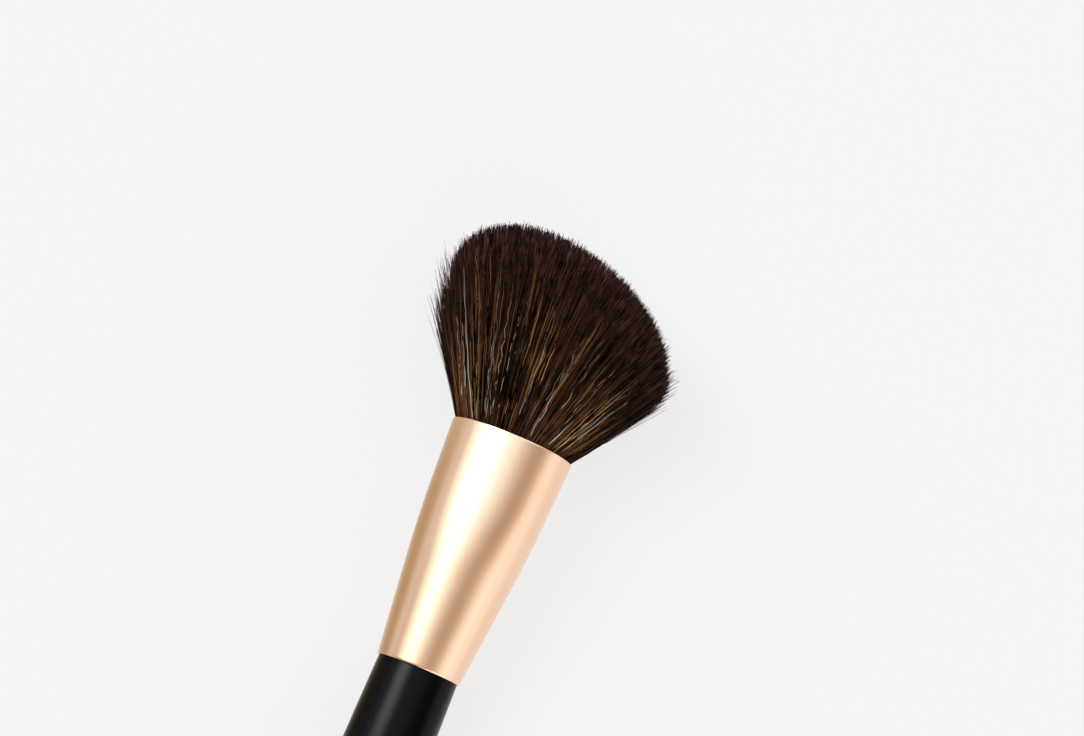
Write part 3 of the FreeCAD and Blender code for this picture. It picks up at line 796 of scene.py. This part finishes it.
def surface_hairs(name, count, material, span=(-1.0, 1.0), lean=1.0, ends=(0.6, 0.97), points=9,
                  width=0.13, contrast=2.0, lift=0.2, stray=0.4, wave=0.03, wave_length=5.0, weave=0.0):
    """Hairs from the rim that keep to the surface. ends and weave are shares, lengths in millimetres."""
    across, deep = surface_places(count, lean, *span)
    full = cut_reach(across, 0 * deep)
    shorter = 1 - LOW_SIDE_SHORTER + LOW_SIDE_SHORTER * across / BUNDLE
    reach = full * draw.uniform(*ends, count) * shorter
    routes = hair_routes(across, deep, np.full(count, INSIDE_MOUTH), reach, points, gather=0.0,
                         stray=stray, bend=0.25, wave=wave, wave_length=wave_length, lift=lift)
    share = np.linspace(0, 1, points)
    room = lift * draw.uniform(0.2, 1.4, count)[:, None]
    held = np.minimum(np.abs(routes[..., 2]), crown_depth(routes) + room)
    held *= 1 - SINK * np.clip(share - SINK_FROM, 0, 1) / (1 - SINK_FROM)
    turns = share * (reach[:, None] / draw.uniform(5, 14, (count, 1))) + draw.uniform(0, 1, (count, 1))
    held *= 1 - weave * (0.5 + 0.5 * np.sin(2 * math.pi * turns))
    routes[..., 2] = np.copysign(held, routes[..., 2])
    shade = draw.uniform(0, 1, count) ** contrast
    along = np.clip((routes[..., 0] - FERRULE_LENGTH) / full[:, None], 0, 1)
    thickness = width * (draw.uniform(0.7, 1.1, count) + 0.3 * shade)
    grown(name, routes, thickness, np.clip(1.35 - share, 0.3, 1.0), shade, along, material)


surface_hairs("surface_hair", 2400, BROWN_HAIR, points=8, contrast=4.0, lift=0.1)

# %% [markdown]
# ## Golden, grey and cream hairs, and painted glints
# Natural hair is mixed. Golden brown hairs lie over most of the fan, more of them on the high side. A few
# pale kinked ones cross them, and they also paint the glints of sheen on the dark hair. Fine cream to
# olive ones gather on the low side. They weave under and over their neighbours, so each shows only in
# stretches.

# %% Grow the golden, grey and cream hairs
surface_hairs("golden_hair", 500, GOLDEN_HAIR, span=(-0.98, 1.0), lean=0.8, ends=(0.45, 0.95), points=14,
              width=0.085, contrast=2.2, stray=0.7, wave=0.07, wave_length=4.0, weave=0.05)
# A few pale kinked hairs, which also paint glints of sheen.
surface_hairs("pale_and_glint_hair", 32, GREY_AND_GLINT_HAIR, span=(-0.95, 0.97), lean=0.8, ends=(0.4, 0.8), points=20,
              width=0.095, contrast=0.8, lift=0.5, stray=0.7, wave=0.14, wave_length=4.0, weave=0.01)
surface_hairs("olive_hair", 300, CREAM_HAIR, span=(-1.0, 0.7), lean=1.15, ends=(0.45, 0.9), points=18,
              width=0.08, stray=0.8, wave=0.12, wave_length=3.2, weave=0.05)

# %% [markdown]
# ## Loose hairs
# On the high side the edge is soft: some hairs stand off from the bundle and let the light through. They
# follow the fan's rule too, but a growing push carries each one outwards. Hairs from further in are
# longer and need more of a push to get as far out. The low side has fewer, and closer in.

# %% Grow the loose hairs
HIGH_SIDE = 1
LOW_SIDE = -1
LOOSE_POINTS = 8
INNER_PUSH = 3.5
PUSH_CURVE = 1.35


def loose_hairs(name, count, side, span, push, ends, width):
    """Hairs from the bundle's edge. span and ends are shares, push is in millimetres."""
    inwards = draw.uniform(*span, count)
    across = side * BUNDLE * (1 - inwards)
    deep = np.sqrt(BUNDLE**2 - across**2) * draw.uniform(-0.5, 0.5, count)
    tip = crown_reach(across, deep) * draw.uniform(*ends, count)
    routes = hair_routes(across, deep, np.full(count, INSIDE_MOUTH), tip, LOOSE_POINTS, gather=0.0,
                         stray=0.15, bend=0.3)
    share = np.linspace(0, 1, LOOSE_POINTS)
    furthest = push * (1 + INNER_PUSH * inwards) * draw.beta(1.2, 1.6, count)
    routes[..., 1] += side * furthest[:, None] * share[None, :] ** PUSH_CURVE
    shade = draw.uniform(0, 1, count) ** 1.6
    thickness = width * draw.uniform(0.6, 1.2, count)
    grown(name, routes, thickness, np.linspace(1.0, 0.3, LOOSE_POINTS), shade, share, BROWN_HAIR)


loose_hairs("edge_hair", 700, HIGH_SIDE, span=(0.02, 0.3), push=0.8, ends=(0.82, 1.02), width=0.13)
loose_hairs("loose_high_hair", 760, HIGH_SIDE, span=(0.02, 0.24), push=2.2, ends=(0.62, 0.96), width=0.12)
loose_hairs("stray_hair", 22, HIGH_SIDE, span=(0.02, 0.15), push=3.4, ends=(0.55, 0.95), width=0.06)
loose_hairs("loose_low_hair", 420, LOW_SIDE, span=(0.01, 0.2), push=0.8, ends=(0.7, 1.06), width=0.11)

# %% [markdown]
# ## The table and its backdrop
# The brush lies on a pale table that curves up into a backdrop all round, like a photographer's sweep. It
# is a round dish: a flat disc and a curved rim, turned about the upright axis. Most of the paleness that
# the eye and reflections see is an even glow, and the rest comes from the lamps, so the brush keeps its
# shadow. Reflections alone see three more things: a tan card on the table left of the ferrule,
# a table that is dimmer far out on the left, and one that is brighter far out on the right. They give
# the metal its edges. The card fades towards the hair, where the metal's edge is lighter.

# %% The sweep's paper
EVEN_SHARE = 0.86
PALE = (242, 242, 242)
TAN_CARD = (0.42, 0.31, 0.16, 1.0)
FAR_LEFT = grey(0.68)
FAR_RIGHT = grey(1.16)


def pale_sweep():
    """Pale paper that glows evenly for the eye, and shows reflections a card and two tints."""
    f = Finish(bpy.data.materials.new("pale_sweep"))
    paper = f.spots(0.0015, detail=2.0)
    colour = f.blend(paper, srgb(241, 241, 241), srgb(243, 243, 243))
    x, y = f.split(f.node("TexCoord", out="Object"), "XY")
    card = y.rise(0.003, 0.022) * y.rise(0.16, 0.03) * x.rise(-0.03, 0.01) * x.rise(0.11, 0.04)
    reflected = f.node("LightPath", out="Is Glossy Ray")
    sides = f.blend(reflected * y.rise(0.03, 0.2), colour, FAR_LEFT)
    sides = f.blend(reflected * y.rise(-0.02, -0.14), sides, FAR_RIGHT)
    lit = f.node("BsdfDiffuse", {}, {"Color": colour})
    even = f.node("Emission", {}, {"Color": f.blend(card * reflected, sides, TAN_CARD), "Strength": 1.0})
    seen = f.node("LightPath", out="Is Camera Ray") + reflected
    seen = seen + f.node("LightPath", out="Is Transmission Ray")
    return f.surface(f.node("MixShader", {}, {0: EVEN_SHARE * seen, 1: lit, 2: even}))


# %% The sweep
FLAT_RADIUS = 1.3
RIM_RADIUS = 0.35
SWEEP_AROUND = 96

dish = [(FLAT_RADIUS * r / 4, 0, 0) for r in range(4)]
dish += [(FLAT_RADIUS + RIM_RADIUS * math.sin(a), 0, RIM_RADIUS * (1 - math.cos(a)))
         for a in [math.radians(d) for d in range(0, 90, 6)]]
sweep_form = spun(dish, (0, 0, 1), SWEEP_AROUND, merge=1e-6)
for face in sweep_form.faces:
    face.smooth = True
sweep_mesh = bpy.data.meshes.new("sweep")
sweep_form.to_mesh(sweep_mesh)
sweep_form.free()
sweep_mesh.materials.append(pale_sweep())
sweep = bpy.data.objects.new("sweep", sweep_mesh)
bpy.context.scene.collection.objects.link(sweep)

# %% [markdown]
# ## Light
# A satin tube is a mirror for the lights round it, so each band on the ferrule is one thing in the
# studio. A bright softbox high on the left, with a lamp in its middle, gives the wide cream band. The dim
# warm room gives the brown stripe, and a white wall on the right gives the peach flank. The softbox is
# warmer towards the handle. The lacquer mirrors another strip of it, which is dimmer round one very
# bright lamp: that lamp is the grey line on the handle. Plain light from ahead reaches the hair's tips.
# They stand far off, so they are painted on the room's dome. A direction there is an angle round the
# brush, counted from straight up towards the low side of the hair, and an angle along it towards the
# hair. The edges of softbox and wall run on a slant, which is why the bands on the ferrule slant too.

# %% The lamps, with angles in degrees
ROOM = (0.26, 0.13, 0.02, 1.0)
SOFTBOX = (1.6, 1.88, 2.0, 1.0)
SOFTBOX_LEFT = -80.0
SOFTBOX_RIGHT = 18.0
LEFT_SLANT = 2.7
LEFT_BLUR = 15.0
RIGHT_SLANT = 3.1
RIGHT_BLUR = 24.0
WARM_END = (1.5, 1.68, 1.66, 1.0)
DIM_STRIP = (0.9, 0.98, 1.0, 1.0)
LAMP = grey(3.0)
LAMP_MIDDLE = -37.0
LAMP_HALF = 26.0
NEAR_LAMP = grey(20.0)
AHEAD = grey(1.0)
WHITE_WALL = grey(1.45)
WALL_EDGE = 67.7
WALL_SLANT = 2.5
WALL_BLUR = 9.0


# %% The room
def studio():
    """The room's dome for light and reflections, and a plain pale one for the eye."""
    f = Finish(bpy.data.worlds.new("studio"))
    way = f.node("TexCoord", out="Generated")
    side, height, lengthwise = [
        f.node("VectorMath", {"operation": "DOT_PRODUCT"}, {0: way, 1: axis}, out="Value")
        for axis in (-broad_axis, depth_axis, along_axis)]
    around = side.turn("ARCTAN2", height)
    lengthwise = lengthwise.turn("ARCSINE")
    ends = lengthwise.rise(-34, -16) * lengthwise.rise(34, 16)
    left = (around + LEFT_SLANT * lengthwise).rise(SOFTBOX_LEFT - LEFT_BLUR, SOFTBOX_LEFT + LEFT_BLUR)
    right = (around - RIGHT_SLANT * lengthwise).rise(SOFTBOX_RIGHT + RIGHT_BLUR, SOFTBOX_RIGHT - RIGHT_BLUR)
    lamp = around.rise(LAMP_MIDDLE - LAMP_HALF, LAMP_MIDDLE)
    lamp = lamp * around.rise(LAMP_MIDDLE + LAMP_HALF, LAMP_MIDDLE)
    wall = (around - WALL_SLANT * lengthwise).rise(WALL_EDGE - WALL_BLUR, WALL_EDGE + WALL_BLUR)
    strip = lengthwise.rise(3.5, 7) * lengthwise.rise(16, 9)
    softbox = f.blend(strip, f.blend(lengthwise.rise(-10, 2), WARM_END, SOFTBOX), DIM_STRIP)
    light = f.blend(left * right * ends, ROOM, softbox)
    light = f.blend(lamp * lengthwise.rise(-5, 4) * ends, light, LAMP)
    light = f.blend(lamp * strip, light, NEAR_LAMP)
    light = f.blend(lengthwise.rise(44, 60), light, AHEAD)
    light = f.blend(wall * around.rise(0, 1), light, WHITE_WALL)
    lit = f.node("Background", {}, {"Color": light, "Strength": 1.0})
    behind = f.node("Background", {}, {"Color": srgb(*PALE), "Strength": 1.0})
    seen = f.node("LightPath", out="Is Camera Ray")
    return f.surface(f.node("MixShader", {}, {0: seen, 1: lit, 2: behind}))


bpy.context.scene.world = studio()

# %% [markdown]
# ## The camera
# The picture looks down on the brush, a little from the handle's side, so the hair is slightly further
# away. The camera is rolled until the brush leans to the right, and placed so that the ferrule's mouth
# falls where it does in the picture. The frame cuts off most of the handle.

# %% Camera
PICTURE = (1084, 736)
MM_A_PIXEL = 0.1464
MOUTH_PIXEL = (512.2, 442.3)
BRUSH_LEAN = 22.5
LOOK_TILT = 12.13
LENS = 120.0
SENSOR = 36.0

camera = bpy.data.cameras.new("camera")
camera.lens = LENS
camera.sensor_width = SENSOR
tilt = math.radians(LOOK_TILT)
lean = math.radians(BRUSH_LEAN)
look = Vector((math.sin(tilt), 0, -math.cos(tilt)))
brush_way = (along_axis - look * along_axis.dot(look)).normalized()
up = brush_way * math.cos(lean) + broad_axis * math.sin(lean)
right = look.cross(up)
distance = PICTURE[0] * MM_A_PIXEL * MM * LENS / SENSOR
mouth = LAID @ Vector((FERRULE_LENGTH, 0, 0))
mouth_right = MOUTH_PIXEL[0] - PICTURE[0] / 2
mouth_up = PICTURE[1] / 2 - MOUTH_PIXEL[1]
aim = mouth - (right * mouth_right + up * mouth_up) * MM_A_PIXEL * MM
facing = Matrix((right, up, -look)).transposed().to_4x4()
eye = bpy.data.objects.new("camera", camera)
eye.matrix_world = Matrix.Translation(aim - look * distance) @ facing
bpy.context.scene.collection.objects.link(eye)
bpy.context.scene.camera = eye
bpy.context.scene.view_settings.view_transform = "Standard"
print("The camera is", round(distance * 1000), "mm from the ferrule's mouth")
